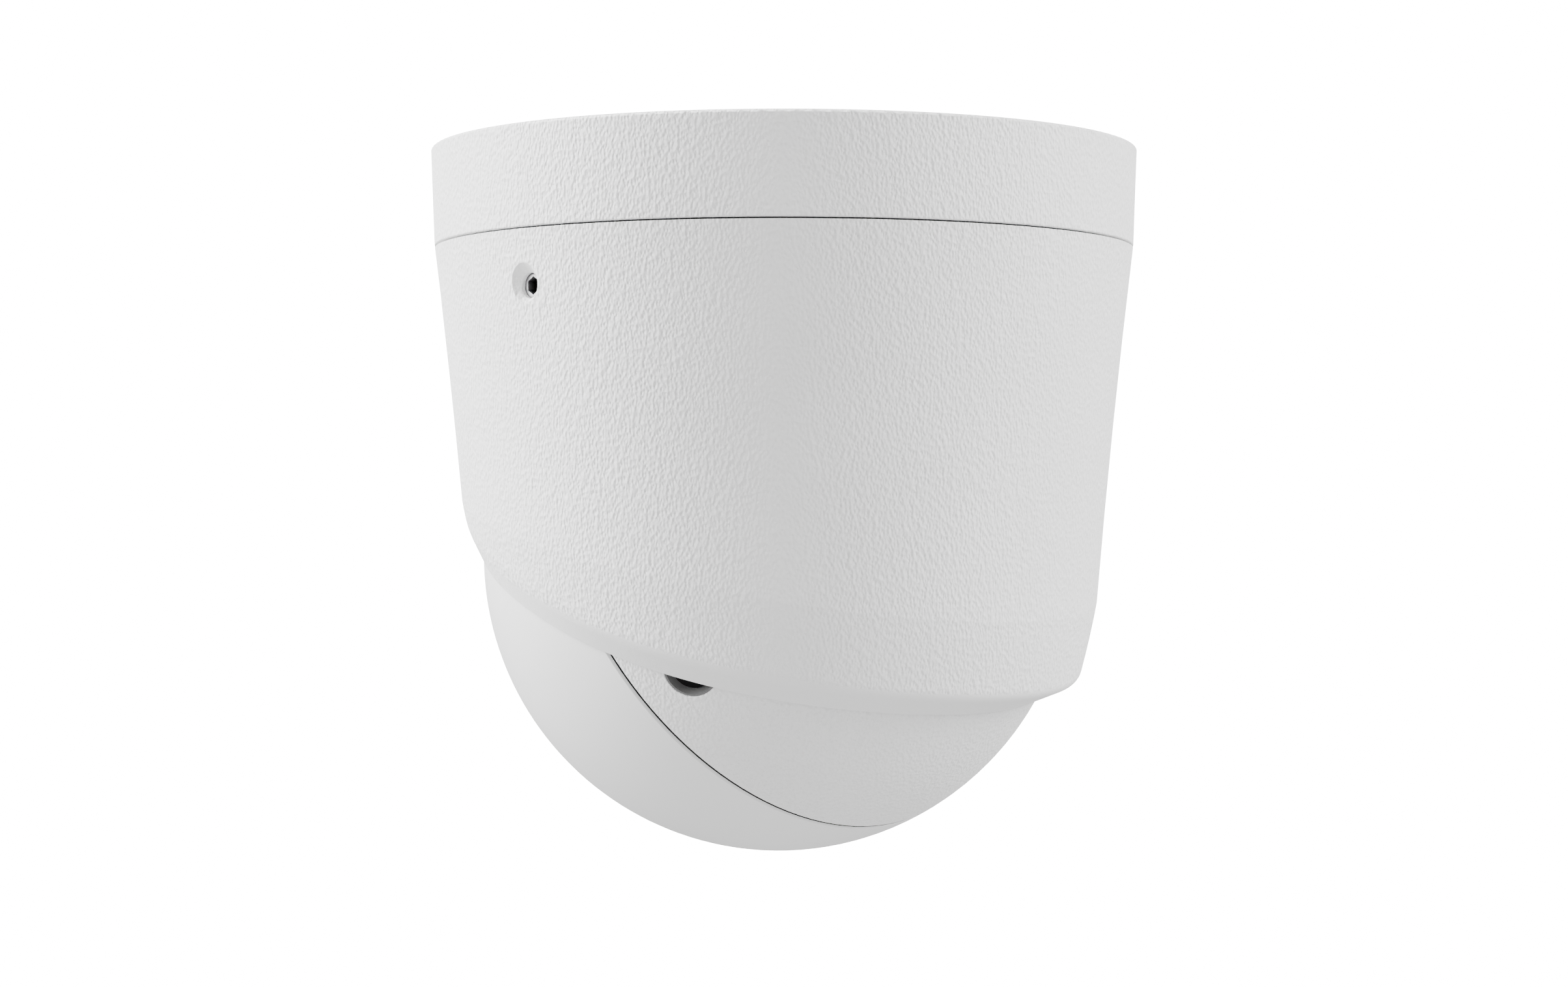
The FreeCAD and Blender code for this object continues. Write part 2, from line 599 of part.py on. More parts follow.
def housing_cover():
    """Turning cover: the skin, hollowed for the spigot, the yoke's sweep and the ball."""
    skin = doc.addObject("Part::Feature", "cover_skin")
    skin.Shape = cover_skin()
    at_ball = {"y": "ball_y", "z": "ball_z"}
    neck = cylinder("cover_neck", "neck_radius", "cover_top_z - neck_end_z + 1", z="neck_end_z")
    inside = cone("cover_inside", "cavity_foot", "cavity_top", "neck_end_z - cavity_foot_z",
                  z="cavity_foot_z")
    sweep_ball = sphere("sweep_ball", "sweep_radius", **at_ball)
    sweep_front = common("sweep_front", sweep_ball, above_slant("space_front", "front_slant", "sweep_drop"))
    sweep = common("yoke_sweep", sweep_front, above_slant("space_back", "back_slant", "sweep_drop"))
    inside = common("cover_inside_cut", inside, above_slant("space_inside", "front_slant", "inside_drop"))
    clearance = sphere("ball_clearance", "lip_gap_radius", **at_ball)
    hollow = cut("cover_hollow", skin, fuse("cover_cavity", neck, inside, sweep, clearance))

    lug_block = box("stop_lug_block", "lug_width", "lug_reach", "lug_height", y="-stop_circle - lug_back",
                    z="stop_end_z - lug_drop")
    lug_round = cylinder("stop_lug_round", "stop_circle - lug_clear", "2 * lug_height + 2",
                         z="stop_end_z - 2")
    lug = cut("stop_lug", lug_block, lug_round)
    with_lug = fuse("cover_with_lug", hollow, lug)

    openings = []
    for side, sign, turn in SIDES:
        openings.append(cylinder(f"lock_bore_{side}", "screw_bore", "lock_reach",
                                 x=f"{sign} * (neck_radius - 1)",
                                 z="screw_z", axis=V(0, 1, 0), angle=turn))
        openings.append(cone(f"lock_sink_{side}", "screw_bore", "screw_sink + sink_over",
                             "screw_sink_depth + sink_over",
                             x=f"{sign} * (screw_wall - screw_sink_depth)", z="screw_z", axis=V(0, 1, 0),
                             angle=turn))
        openings.append(cylinder(f"pivot_bore_{side}", "pin_hole", "pin_hole_end - pin_hole_start",
                                 x=f"{sign} * pin_hole_start",
                                 y="ball_y", z="ball_z", axis=V(0, 1, 0), angle=turn))
    seal_ring = ring("seal_groove", "seal_inner", "seal_outer", "cover_top_z - seal_depth", "cover_top_z + 1")
    keep(cut("cover_piece", with_lug, fuse("cover_openings", seal_ring, *openings)), "housing_cover")


def cover_fittings():
    """The two hexagon socket lock screws and the seal in the joint under the base ring."""
    screws = []
    for side, sign, turn in SIDES:
        rod = cylinder(f"lock_rod_{side}", "screw_bore - snug", "screw_face - neck_radius - lock_inset",
                       x=f"{sign} * (neck_radius + lock_inset)", z="screw_z", axis=V(0, 1, 0), angle=turn)
        tip = cone(f"lock_tip_{side}", "lock_point", "screw_bore - snug", "lock_tip",
                   x=f"{sign} * (neck_radius + lock_inset - lock_tip)",
                   z="screw_z", axis=V(0, 1, 0), angle=turn)
        socket = hexagon(f"lock_socket_{side}", "screw_key", "lock_socket + 1",
                         x=f"{sign} * (screw_face - lock_socket)",
                         z="screw_z", axis=V(0, 1, 0), angle=turn)
        whole = fuse(f"lock_whole_{side}", rod, tip)
        screws.append(cut(f"lock_screw_{side}", whole, socket))
    keep(group("lock_screw_pair", *screws), "cover_lock_screws")

    keep(ring("seal", "seal_inner + snug", "seal_outer - snug", "cover_top_z - seal_depth",
              "cover_top_z + seal_stand"), "seam_seal")


# ---------------------------------------------------------------- yoke, in the lens frame
def tilt_yoke():
    """Thin sprung strap round the back of the ball, with an ear at each end and a crown at the pole."""
    shell = cut("yoke_shell", sphere("yoke_outside", "yoke_outer"), sphere("yoke_inside", "yoke_inner"))
    strap_block = box("yoke_strap_block", "cutter_side", "2 * yoke_half", "cutter_height", z="-cutter_height")
    ears = cylinder("yoke_ear_rod", "yoke_half", "cutter_side", x="-cutter_side / 2", axis=V(0, 1, 0),
                    angle="90")
    strap = common("yoke_strap", shell, fuse("yoke_strap_space", strap_block, ears))
    crown_rod = cylinder("crown_rod", "crown_radius", "cutter_height - crown_floor", z="-cutter_height")
    crown = common("crown", crown_rod, sphere("crown_limit", "yoke_outer"))
    whole = fuse("yoke_whole", strap, crown)
    openings = fuse("yoke_openings",
                    cylinder("crown_bore", "bush_radius", "cutter_height - crown_bore_end",
                             z="-cutter_height"),
                    cylinder("crown_pocket", "nut_pocket", "cutter_height - crown_step",
                             z="-cutter_height"),
                    cylinder("ear_bore", "pin_radius", "cutter_side", x="-cutter_side / 2",
                             axis=V(0, 1, 0), angle="90"))
    keep_in_ball(cut("yoke_piece", whole, openings), "tilt_yoke")

    pins = []
    for side, sign, turn in SIDES:
        pins.append(cylinder(f"pivot_pin_{side}", "pin_radius", "pin_tip - yoke_inner - pin_inset",
                             x=f"{sign} * (yoke_inner + pin_inset)", axis=V(0, 1, 0), angle=turn))
    keep_in_ball(group("pivot_pin_pair", *pins), "pivot_pins")

    bush = new_body("crown_bush")
    revolve(bush, [
        ("bush_bore", "-crown_step"),
        ("bush_radius", "-crown_step"),
        ("bush_radius", "-crown_floor"),
        ("nut_pocket", "-crown_floor"),
        ("nut_pocket", "-crown_floor + bush_flange"),
        ("bush_bore", "-crown_floor + bush_flange"),
    ])
    keep_in_ball(bush, "crown_bush")


# ---------------------------------------------------------------- ball shells, in the lens frame
def along_recess(name, low, high, start, end):
    """A cone along the recess's own axis, between two distances from the ball's centre."""
    thing = doc.addObject("Part::Cone", name)
    bind(thing, Radius1=low, Radius2=high, Height=f"({end}) - ({start})")
    direction = V(number("recess_x"), number("recess_y"), number("recess_z"))
    direction.normalize()
    thing.Placement = FreeCAD.Placement(direction * number(start), FreeCAD.Rotation(V(0, 0, 1), direction))
    return thing


def rear_shell():
    """Grained rear half of the ball: hollow spindle on its flat back, and a round recess with its plug."""
    body = new_body("rear_shell_turned")
    revolve(body, [
        ("ball_radius", "back_face", "arc"),
        ("ball_radius", "seam_rear"),
        ("ball_radius - groove_outer", "seam_rear"),
        ("ball_radius - groove_outer", "seam_rear - seal_groove_depth"),
        ("ball_radius - groove_inner", "seam_rear - seal_groove_depth"),
        ("ball_radius - groove_inner", "seam_rear"),
        ("ball_radius - shell_wall", "seam_rear", "arc"),
        ("ball_radius - shell_wall", "back_face + back_wall"),
        ("spindle_bore", "back_face + back_wall"),
        ("spindle_bore", "spindle_end"),
        ("spindle_radius", "spindle_end"),
        ("spindle_radius", "back_face"),
    ])
    holes(body, ring_of(SCREWS, "long_screw_circle", "screw_way", "long_screw_turn"),
          "back_face + back_wall + 1", "2 * back_wall + 2", "screw_holes")
    holes(body, ring_of(SCREWS, "long_screw_circle", "cap_sink", "long_screw_turn"),
          "back_face + cap_sink_depth", "back_wall", "screw_heads")
    floor = "ball_radius - recess_depth"
    boss = along_recess("boss", "recess_boss", "recess_boss", "ball_radius - boss_depth",
                        "ball_radius - boss_top")
    recess = along_recess("recess_cone", "recess_foot", "recess_mouth + mouth_over", floor,
                          "ball_radius + mouth_reach")
    bore = along_recess("bore", "plug_bore", "plug_bore", "ball_radius - bore_depth", f"{floor} + sliver")
    solid = fuse("rear_shell_solid", body, boss)
    keep_in_ball(cut("rear_shell_piece", solid, fuse("recess_space", recess, bore)), "rear_shell")

    bezel_cone = along_recess("bezel_cone", "recess_foot - fit_gap", "recess_mouth + mouth_over - fit_gap",
                              f"{floor} + fit_gap", "ball_radius + mouth_reach")
    bezel_hole = along_recess("bezel_hole", "recess_foot - fit_gap - bezel_wall",
                              "recess_mouth + mouth_over - fit_gap - bezel_wall", floor,
                              "ball_radius + mouth_reach + sliver")
    bezel = common("bezel_trimmed", cut("bezel_ring", bezel_cone, bezel_hole),
                   sphere("bezel_limit", "ball_radius - sliver"))
    keep_in_ball(bezel, "recess_bezel")

    stem, brim = "plug_bore - sliver", "plug_bore + plug_brim"
    rubber = along_recess("plug_body", stem, stem, "ball_radius - boss_depth - overlap", f"{floor} - sliver")
    flange = along_recess("plug_flange", brim, brim, "ball_radius - boss_depth - overlap - plug_flange",
                          "ball_radius - boss_depth - snug")
    head = "recess_foot - bezel_wall - 2 * fit_gap"
    cap = along_recess("plug_cap", head, head, f"{floor} + fit_gap", f"{floor} + fit_gap + plug_head")
    neck = along_recess("plug_neck", stem, stem, f"{floor} - overlap", f"{floor} + sliver")
    keep_in_ball(fuse("plug_piece", rubber, flange, neck, cap), "service_plug")


def front_shell():
    """Smooth front part of the ball, with the window's seat and a tongue that enters the rear shell."""
    body = new_body("front_shell")
    revolve(body, [
        ("ball_radius - tongue_inset", "seam_front - tongue"),
        ("ball_radius - tongue_inset", "seam_front"),
        ("sqrt(ball_radius ^ 2 - seam_front ^ 2) - seam_chamfer", "seam_front"),
        ("ball_radius", "seam_front + seam_chamfer", "arc"),
        ("ball_radius", "front_face"),
        ("window_radius + window_play", "front_face"),
        ("window_radius + window_play", "window_seat"),
        ("seat_radius", "window_seat"),
        ("seat_radius", "window_seat - seat_step"),
        ("ball_radius - shell_wall", "window_seat - seat_back", "arc"),
        ("ball_radius - shell_wall", "thick_start"),
        ("ball_radius - tongue_wall", "thick_end"),
        ("ball_radius - tongue_wall", "seam_front - tongue"),
    ])
    posts(body, ring_of(SCREWS, "frame_screw_circle", "boss_radius", "post_turn"), "frame_high",
          "frame_boss_height", "frame_bosses")
    holes(body, ring_of(SCREWS, "frame_screw_circle", "frame_thread", "post_turn"),
          "frame_high + thread_depth", "thread_depth + 1", "frame_threads")
    round_edges(body, "face_edge", "sqrt(ball_radius ^ 2 - front_face ^ 2)", "front_face", "face_round")
    keep_in_ball(body, "front_shell")


def screw(name, x, y, head_low, head_radius, head_height, shank_radius, shank_length, key):
    """A cap screw whose head is at the bottom and whose shank points up."""
    head = cylinder(f"{name}_head", head_radius, head_height, x=x, y=y, z=head_low)
    shank = cylinder(f"{name}_shank", shank_radius, f"{shank_length} + overlap", x=x, y=y,
                     z=f"({head_low}) + ({head_height}) - overlap")
    socket = hexagon(f"{name}_socket", key, f"({head_height}) * socket_share", x=x, y=y,
                     z=f"({head_low}) - snug")
    return cut(f"{name}_cut", fuse(f"{name}_solid", head, shank), socket)


def screws(name, places, *sizes):
    return group(f"{name}_all", *[screw(f"{name}_{index}", x, y, *sizes)
                                  for index, (x, y, _) in enumerate(places)])


def ball_fittings():
    """Seals, washer, nut, screws and window of the ball."""
    bead = ring("seal_bead", "ball_radius - groove_inner + snug", "ball_radius - groove_outer - snug",
                "seam_rear - seal_groove_depth + fit_gap",
                "seam_front - fit_gap")
    lip = ring("seal_lip", "ball_radius - seal_lip_root", "ball_radius - seal_lip_depth",
               "seam_rear + fit_gap / 2",
               "seam_front - fit_gap")
    keep_in_ball(fuse("shell_seal_piece", bead, lip), "shell_seal")
    keep_in_ball(ring("washer", "spindle_radius + washer_play", "washer_radius",
                      "-crown_floor + bush_flange + snug", "back_face - snug"),
                 "spindle_washer")
    nut_body = ring("nut", "spindle_radius + snug", "nut_pocket - nut_play", "spindle_end + nut_inset",
                    "-crown_step - sliver")
    slots = [box(f"nut_slot_{k}", width, length, "nut_slot_depth", z="spindle_end")
             for k, (width, length) in enumerate((("nut_slot_width", "nut_slot_length"),
                                                  ("nut_slot_length", "nut_slot_width")))]
    keep_in_ball(cut("nut_piece", nut_body, fuse("nut_slots", *slots)), "spindle_nut")
    cable_seal = ring("cable_seal", "cable_radius", "spindle_bore - snug", "spindle_end + cable_seal_inset",
                      "back_face + back_wall - cable_seal_inset")
    keep_in_ball(cable_seal, "spindle_cable_seal")
    shell_places = ring_of(SCREWS, "long_screw_circle", "0", "long_screw_turn")
    keep_in_ball(screws("shell_screw", shell_places, "back_face + snug", "cap_head", "cap_height",
                        "cap_shank", "long_screw_length", "cap_key"), "shell_screws")
    keep_in_ball(ring("window_gasket", "seat_radius + gasket_inset", "window_radius", "window_seat",
                      "window_back"),
                 "window_gasket")
    pane = new_body("front_window")
    revolve(pane, [
        ("0", "window_back"),
        ("window_radius", "window_back"),
        ("window_radius", "window_front - pane_bevel"),
        ("window_radius - pane_bevel", "window_front"),
        ("0", "window_front"),
    ])
    keep_in_ball(pane, "front_window")


# ---------------------------------------------------------------- camera inside the ball
LED_COUNT = 12
KNURLS = 18
FINS = 7
CAPACITORS = 4


def inner_frame():
    """Plate across the ball that carries the lamp board and the sensor board on posts."""
    body = new_body("inner_frame")
    revolve(body, [
        ("frame_bore", "frame_low"),
        ("frame_radius", "frame_low"),
        ("frame_radius", "frame_high"),
        ("frame_bore", "frame_high"),
    ])
    posts(body, ring_of(SCREWS, "led_post_circle", "lamp_post_radius", "post_turn"), "frame_high - post_root",
          "led_board_low - frame_high + post_root", "lamp_posts")
    posts(body, ring_of(SCREWS, "long_screw_circle", "boss_radius", "long_screw_turn"), "boss_start",
          "frame_low", "screw_bosses")
    posts(body, corners_of("post_place", "sensor_post_radius"), "sensor_board_z + board",
          "frame_low - sensor_board_z - board + post_root",
          "sensor_posts")
    holes(body, ring_of(SCREWS, "led_post_circle", "lamp_thread", "post_turn"), "led_board_low",
          "lamp_thread_depth", "lamp_threads")
    holes(body, ring_of(SCREWS, "long_screw_circle", "long_thread", "long_screw_turn"), "frame_low",
          "frame_low", "long_threads")
    holes(body, corners_of("post_place", "sensor_thread"), "sensor_thread_top", "sensor_thread_depth",
          "sensor_threads")
    holes(body, ring_of(SCREWS, "frame_screw_circle", "screw_way", "post_turn"), "frame_high",
          "frame_high - frame_low + 1", "clearance_holes")
    keep_in_ball(body, "inner_frame")
    frame_places = ring_of(SCREWS, "frame_screw_circle", "0", "post_turn")
    keep_in_ball(screws("frame_screw", frame_places, "frame_low - frame_head", "cap_head", "frame_head",
                        "frame_shank", "frame_screw_length", "cap_key"), "frame_screws")


def lamp_board():
    """Ring board behind the window, with its infra-red lamps, light sensor and screws."""
    board = new_body("led_board")
    revolve(board, [
        ("led_board_inner", "led_board_low"),
        ("led_board_outer", "led_board_low"),
        ("led_board_outer", "led_board_high"),
        ("led_board_inner", "led_board_high"),
    ])
    holes(board, ring_of(SCREWS, "led_post_circle", "lamp_hole", "post_turn"), "led_board_high",
          "2 * board", "screw_holes")
    keep_in_ball(board, "led_board")

    lamps = []
    for k, (x, y, _) in enumerate(ring_of(LED_COUNT, "led_circle", "0", "led_turn")):
        collar = cylinder(f"lamp_collar_{k}", "lamp_collar", "collar_height", x=x, y=y, z="led_board_high")
        stem = cylinder(f"lamp_stem_{k}", "lamp_radius", "lamp_height", x=x, y=y, z="led_board_high")
        dome = sphere(f"lamp_dome_{k}", "lamp_radius", x=x, y=y, z="led_board_high + lamp_height")
        lamps.append(fuse(f"lamp_{k}", collar, stem, dome))
    keep_in_ball(group("lamp_ring", *lamps), "ir_leds")

    cell = fuse("light_cell",
                cylinder("light_cell_can", "cell_radius", "cell_height", y="-cell_place", z="led_board_high"),
                sphere("light_cell_dome", "cell_dome", y="-cell_place", z="led_board_high + cell_height"))
    keep_in_ball(cell, "light_sensor")

    lamp_screws = []
    for k, (x, y, _) in enumerate(ring_of(SCREWS, "led_post_circle", "0", "post_turn")):
        head = cylinder(f"lamp_screw_head_{k}", "lamp_head", "lamp_head_height", x=x, y=y, z="led_board_high")
        shank = cylinder(f"lamp_screw_shank_{k}", "lamp_shank", "lamp_screw_length + overlap", x=x, y=y,
                         z="led_board_high - lamp_screw_length")
        socket = hexagon(f"lamp_screw_socket_{k}", "small_key",
                         "lamp_head_height - lamp_socket_floor + overlap", x=x, y=y,
                         z="led_board_high + lamp_socket_floor")
        lamp_screws.append(cut(f"lamp_screw_{k}", fuse(f"lamp_screw_solid_{k}", head, shank), socket))
    keep_in_ball(group("lamp_screws_all", *lamp_screws), "led_board_screws")


def optics():
    """Lens shroud, screwed lens barrel with its glasses, lock ring and holder."""
    shroud = new_body("lens_shroud")
    revolve(shroud, [
        ("shroud_inner", "led_board_high + snug"),
        ("shroud_outer", "led_board_high + snug"),
        ("shroud_outer", "window_back - shroud_flare"),
        ("shroud_mouth", "window_back - snug"),
        ("shroud_mouth_inner", "window_back - snug"),
        ("shroud_inner", "window_back - shroud_flare"),
    ])
    keep_in_ball(shroud, "lens_shroud")

    barrel = new_body("lens_barrel")
    revolve(barrel, [
        ("barrel_bore", "barrel_foot"),
        ("barrel_thread", "barrel_foot"),
        ("barrel_thread", "barrel_neck"),
        ("barrel_radius", "barrel_shoulder"),
        ("barrel_radius", "barrel_rim - barrel_bevel"),
        ("barrel_radius - barrel_bevel", "barrel_rim"),
        ("barrel_radius - barrel_wall", "barrel_rim"),
        ("barrel_radius - barrel_wall", "barrel_step"),
        ("barrel_bore", "barrel_step"),
    ])
    keep_in_ball(barrel, "lens_barrel")

    front = new_body("lens_front_glass")
    revolve(front, [
        ("0", "barrel_step + sliver"),
        ("barrel_radius - barrel_wall - snug", "barrel_step + sliver"),
        ("barrel_radius - barrel_wall - snug", "glass_rim"),
        ("glass_bend_radius", "glass_bend"),
        ("0", "glass_top"),
    ])
    keep_in_ball(front, "lens_front_glass")
    keep_in_ball(cylinder("rear_glass_disc", "barrel_bore - snug", "rear_glass", z="rear_glass_z"),
                 "lens_rear_glass")

    lock = ring("lock", "barrel_thread + snug", "lock_ring_radius", "lock_ring_low", "lock_ring_high")
    notches = [cylinder(f"lock_ring_notch_{k}", "knurl_radius",
                        "lock_ring_high - lock_ring_low + 2 * overlap", x=x, y=y, z="lock_ring_low - overlap")
               for k, (x, y, _) in enumerate(ring_of(KNURLS, "lock_ring_radius + overlap", "0"))]
    keep_in_ball(cut("lock_ring_notched", lock, fuse("lock_ring_knurl", *notches)), "lens_lock_ring")

    block = box("holder_block", "holder_length", "holder_width", "holder_height", z="sensor_board_z + board")
    tube = cylinder("holder_tube", "tube_radius", "tube_height", z="tube_z")
    openings = fuse("holder_openings",
                    box("sensor_chamber", "chamber_length", "chamber_width", "chamber_height",
                        z="sensor_board_z + board"),
                    box("filter_slot", "holder_length + 2", "filter_slot_width", "filter_slot_height",
                        z="filter_slot_z"),
                    cylinder("light_way", "light_way", "light_way_height", z="light_way_z"),
                    cylinder("holder_thread", "barrel_thread + snug", "holder_bore_height",
                             z="holder_bore_z"))
    keep_in_ball(cut("holder_piece", fuse("holder_solid", block, tube), openings), "lens_holder")
    keep_in_ball(box("coil_block", "coil_length", "coil_side", "coil_side", y="coil_y", z="coil_z"),
                 "filter_coil")


def cut_filter():
    """Sliding carriage with the infra-red cut glass and the clear glass."""
    carriage = box("carriage_plate", "carriage_length", "carriage_width", "carriage_height",
                   x="-filter_travel / 2", z="carriage_z")
    opening = ("filter_opening", "filter_opening_width", "filter_opening_cut")
    glass = ("filter_opening - sliver", "filter_opening_width - sliver", "filter_glass")
    windows = fuse("carriage_windows", box("carriage_window_near", *opening, z="carriage_z - 1"),
                   box("carriage_window_far", *opening, x="-filter_travel", z="carriage_z - 1"))
    keep_in_ball(cut("carriage_piece", carriage, windows), "filter_carriage")
    keep_in_ball(box("cut_glass_plate", *glass, z="filter_glass_z"), "ir_cut_glass")
    keep_in_ball(box("clear_glass_plate", *glass, x="-filter_travel", z="filter_glass_z"), "clear_glass")


def boards():
    """Sensor board and main board with what is soldered, stacked and screwed to them."""
    board_screw_places = corners_of("post_place", "board_hole")
    drilled = fuse("sensor_board_holes", *[cylinder(f"sensor_board_hole_{k}", r, "board + 2", x=x, y=y,
                                                    z="sensor_board_z - 1")
                                           for k, (x, y, r) in enumerate(board_screw_places)])
    plate = box("sensor_board_plate", "sensor_board_side", "sensor_board_side", "board", z="sensor_board_z")
    keep_in_ball(cut("sensor_board_piece", plate, drilled), "sensor_board")
    keep_in_ball(box("sensor_package", "sensor_length", "sensor_width", "sensor_height",
                     z="sensor_board_z + board"), "image_sensor")

    spacers = []
    for k, (x, y, _) in enumerate(board_screw_places):
        stud = cylinder(f"spacer_stud_{k}", "stud_radius", "stud_length + overlap", x=x, y=y,
                        z="sensor_board_z - overlap")
        column = hexagon(f"spacer_column_{k}", "spacer_flats", "sensor_board_z - main_board_z - board",
                         x=x, y=y,
                         z="main_board_z + board")
        thread = cylinder(f"spacer_thread_{k}", "spacer_thread", "spacer_thread_height", x=x, y=y,
                          z="main_board_z")
        spacers.append(cut(f"spacer_{k}", fuse(f"spacer_solid_{k}", stud, column), thread))
    keep_in_ball(group("spacer_set", *spacers), "board_spacers")

    main = new_body("main_board")
    revolve(main, [
        ("main_board_bore", "main_board_z"),
        ("main_board_radius", "main_board_z"),
        ("main_board_radius", "main_board_z + board"),
        ("main_board_bore", "main_board_z + board"),
    ])
    top = "main_board_z + board"
    holes(main, ring_of(SCREWS, "long_screw_circle", "board_screw_way", "long_screw_turn"), top,
          "2 * board", "screw_ways")
    holes(main, board_screw_places, top, "2 * board", "board_holes")
    keep_in_ball(main, "main_board")
    keep_in_ball(screws("board_screw", corners_of("post_place", "0"), "main_board_z - board_head_height",
                        "board_head", "board_head_height", "board_shank", "board_screw_length", "small_key"),
                        "board_screws")

    keep_in_ball(box("chip_package", "chip_side", "chip_side", "chip_height", z="main_board_z - chip_height"),
                 "processor_chip")
    pad_low = "main_board_z - chip_height - pad_height"
    keep_in_ball(box("pad_sheet", "pad_side", "pad_side", "pad_height", z=pad_low), "thermal_pad")
    fins = [box(f"heat_fin_{k}", "fin_thickness", "sink_side", "fin_height", x=f"{k - FINS // 2} * fin_pitch",
                z=f"{pad_low} - sink_plate - fin_height + sliver") for k in range(FINS)]
    plate = box("heat_plate", "sink_side", "sink_side", "sink_plate", z=f"{pad_low} - sink_plate")
    sink = fuse("heat_sink_piece", plate, *fins)
    keep_in_ball(sink, "heat_sink")

    sockets = []
    for k, (x, y, _) in enumerate(ring_of(SCREWS, "connector_circle", "0", "post_turn")):
        shell = box(f"socket_block_{k}", "connector_length", "connector_width", "connector_height", x=x, y=y,
                    z="main_board_z - connector_height")
        mouth = box(f"socket_mouth_{k}", "connector_mouth_length", "connector_mouth_width",
                    "connector_mouth_depth", x=x, y=y, z="main_board_z - connector_height - sliver")
        sockets.append(cut(f"socket_{k}", shell, mouth))
    keep_in_ball(group("socket_set", *sockets), "board_connectors")
    cans = [cylinder(f"capacitor_{k}", "capacitor_radius", "capacitor_height", x=x, y=y,
                     z="main_board_z - capacitor_height")
            for k, (x, y, _) in enumerate(ring_of(CAPACITORS, "capacitor_circle", "0")) if k != 1]
    keep_in_ball(group("capacitor_set", *cans), "board_capacitors")


mounting_base()
base_fittings()
housing_cover()
cover_fittings()
tilt_yoke()
rear_shell()
front_shell()
ball_fittings()
inner_frame()
lamp_board()
optics()
cut_filter()
boards()

# ---------------------------------------------------------------- check and write
doc.recompute()
for item in doc.Objects:
    if "Invalid" in item.State or "Error" in item.State:
        raise RuntimeError(f"{item.Name} failed: {item.State}")
for name, item in subparts.items():
    if item.Shape.isNull() or not item.Shape.isValid() or not item.Shape.Solids:
        raise RuntimeError(f"{name} has no valid solid")

os.makedirs("parts", exist_ok=True)
for name, item in subparts.items():
    item.Shape.exportStep(f"parts/{name}.step")
print(len(subparts), "sub-parts written")
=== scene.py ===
"""Looks of the ball-type ceiling camera: materials, studio and view."""
import math

import bmesh
import bpy
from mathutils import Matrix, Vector

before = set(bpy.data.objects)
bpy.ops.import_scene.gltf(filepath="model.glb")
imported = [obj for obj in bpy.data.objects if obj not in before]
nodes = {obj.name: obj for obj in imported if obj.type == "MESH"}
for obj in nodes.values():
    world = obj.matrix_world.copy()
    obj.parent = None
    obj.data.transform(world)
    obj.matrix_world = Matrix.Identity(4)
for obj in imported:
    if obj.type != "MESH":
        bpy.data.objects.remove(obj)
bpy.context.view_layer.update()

GRAIN_STRENGTH = 0.75
LIP_LEAN = -0.46             # upward lean of the surface at which the cover's grain has run out
LIP_BLEND = 0.06
LIP_GRAIN = 0.05             # strength of what is left of the grain on the lip


